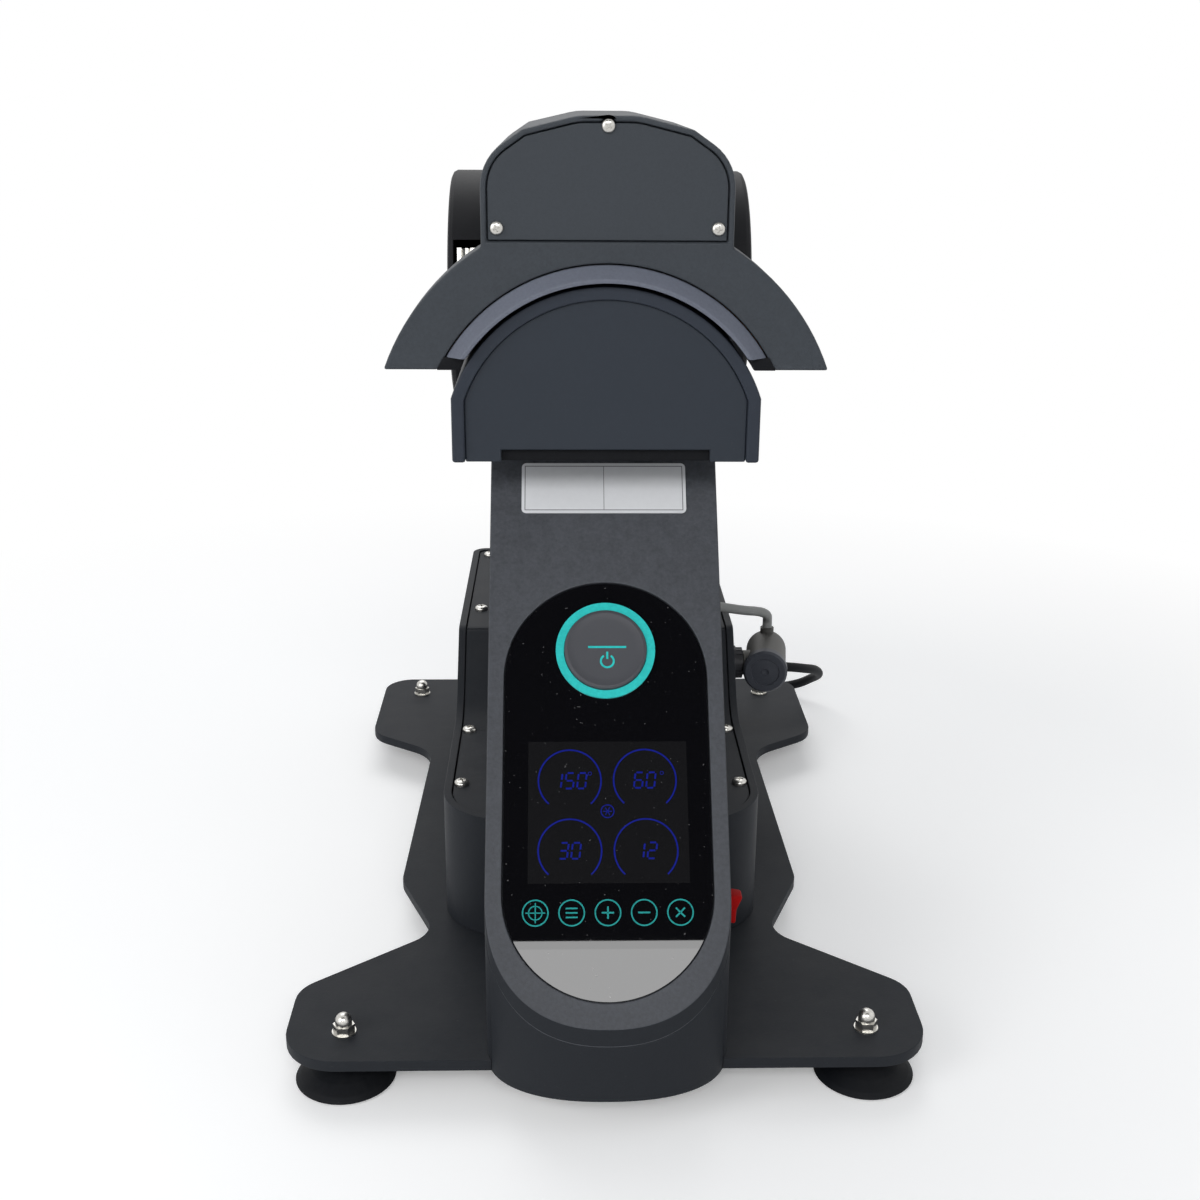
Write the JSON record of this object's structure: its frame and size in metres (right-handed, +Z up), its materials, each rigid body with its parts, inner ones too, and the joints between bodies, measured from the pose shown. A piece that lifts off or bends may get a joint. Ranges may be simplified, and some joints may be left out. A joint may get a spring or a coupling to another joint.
{
  "type": "cap heat press",
  "caption": "Bench press for caps: a motorised arm lowers a curved hot platen over a padded curved stand above a sloping control panel.",
  "frame": {"origin": "on the table, under the middle of the machine's footprint", "axes": "+X to the machine's right as seen from the operator, +Y to the back, +Z up"},
  "size_m": [0.3413, 0.6576, 0.457],
  "materials": {
    "black_powder_coat": "fine textured matt",
    "grey_powder_coat": "coarse textured matt",
    "black_enamel": "smooth satin",
    "steel_frame": "machined",
    "bright_steel": "bright",
    "cast_aluminium": "cast satin",
    "bronze": "plain",
    "rubber_black": "matt",
    "silicone_black": "satin",
    "lead_grey": "satin",
    "panel_black": "glossy black acrylic",
    "display_blue": "glossy",
    "board_green": "matt",
    "brass_standoff": "plain",
    "teal_ring": "lit translucent",
    "button_grey": "satin",
    "black_plastic": "matt",
    "elbow_grey": "satin",
    "rocker_red": "glossy",
    "plate_white": "satin film",
    "supply_zinc": "perforated sheet",
    "heater_film": "film",
    "insulation_felt": "felt"
  },
  "bodies": {
    "base": {"base_plate": "black_powder_coat", "suction_feet": "rubber_black", "foot_bolts": "bright_steel", "foot_nuts": "bright_steel", "column_casing": "black_powder_coat", "face_frame": "grey_powder_coat", "panel_glass": "panel_black", "display": "display_blue", "control_board": "board_green", "board_standoffs": "brass_standoff", "start_ring": "teal_ring", "start_switch": "black_plastic", "rating_plate": "plate_white", "switch_frame": "black_plastic", "power_supply": "supply_zinc", "rear_casing": "black_powder_coat", "deck_cover": "black_powder_coat", "rear_cover": "black_powder_coat", "cover_screws": "bright_steel", "tower_left": "black_powder_coat", "tower_right": "black_powder_coat", "tower_front": "black_powder_coat", "tower_back": "black_powder_coat", "tower_bolts": "bright_steel", "hinge_bushes": "bronze", "platen_neck": "black_enamel", "lower_platen": "cast_aluminium", "lower_heater": "heater_film", "lower_pad": "silicone_black", "front_end_plate": "black_enamel", "back_end_plate": "black_enamel", "actuator": "black_plastic", "lead_socket": "black_plastic", "coupling_ring": "black_plastic", "elbow_plug": "elbow_grey", "elbow_cap": "black_plastic", "heater_lead": "lead_grey", "lead_gland": "black_plastic", "strain_relief": "rubber_black", "mains_lead": "rubber_black", "mains_coil": "rubber_black", "mains_plug": "rubber_black", "lead_tie": "rubber_black"},
    "arm": {"upper_housing": "black_powder_coat", "hood_plate": "black_powder_coat", "hood_screws": "bright_steel", "arm_frame": "steel_frame", "platen_hangers": "bright_steel", "upper_platen": "cast_aluminium", "upper_heater": "heater_film", "insulation": "insulation_felt", "hinge_shaft": "bright_steel", "crank": "steel_frame", "shaft_clamps": "bright_steel", "hinge_cover_left": "black_powder_coat", "hinge_cover_right": "black_powder_coat"},
    "drive_rod": {"actuator_rod": "bright_steel", "drive_pin": "bright_steel"},
    "start_key": {"start_button": "button_grey"},
    "power_key": {"power_rocker": "rocker_red"}
  },
  "joints": [
    {"name": "arm_hinge", "type": "hinge", "parent": "base", "child": "arm", "pos_m": [0, 0.092, 0.35], "axis": [-1, 0, 0], "range_deg": [0, 45]},
    {"name": "rod_slide", "type": "slide", "parent": "base", "child": "drive_rod", "axis": [0, 0, -1], "range_m": [0, 0.0299]},
    {"name": "start_press", "type": "slide", "parent": "base", "child": "start_key", "axis": [0, 0.788, -0.6157], "range_m": [0, 0.002], "stiffness_N_per_m": 800, "springref_m": -0.002},
    {"name": "power_rock", "type": "hinge", "parent": "base", "child": "power_key", "pos_m": [0.0585, -0.188, 0.084], "axis": [0, 1, 0], "range_deg": [-24, 0]}
  ],
  "couplings": [
    {"joint": "rod_slide", "follows": "arm_hinge", "m_per_rad": 0.037972}
  ]
}
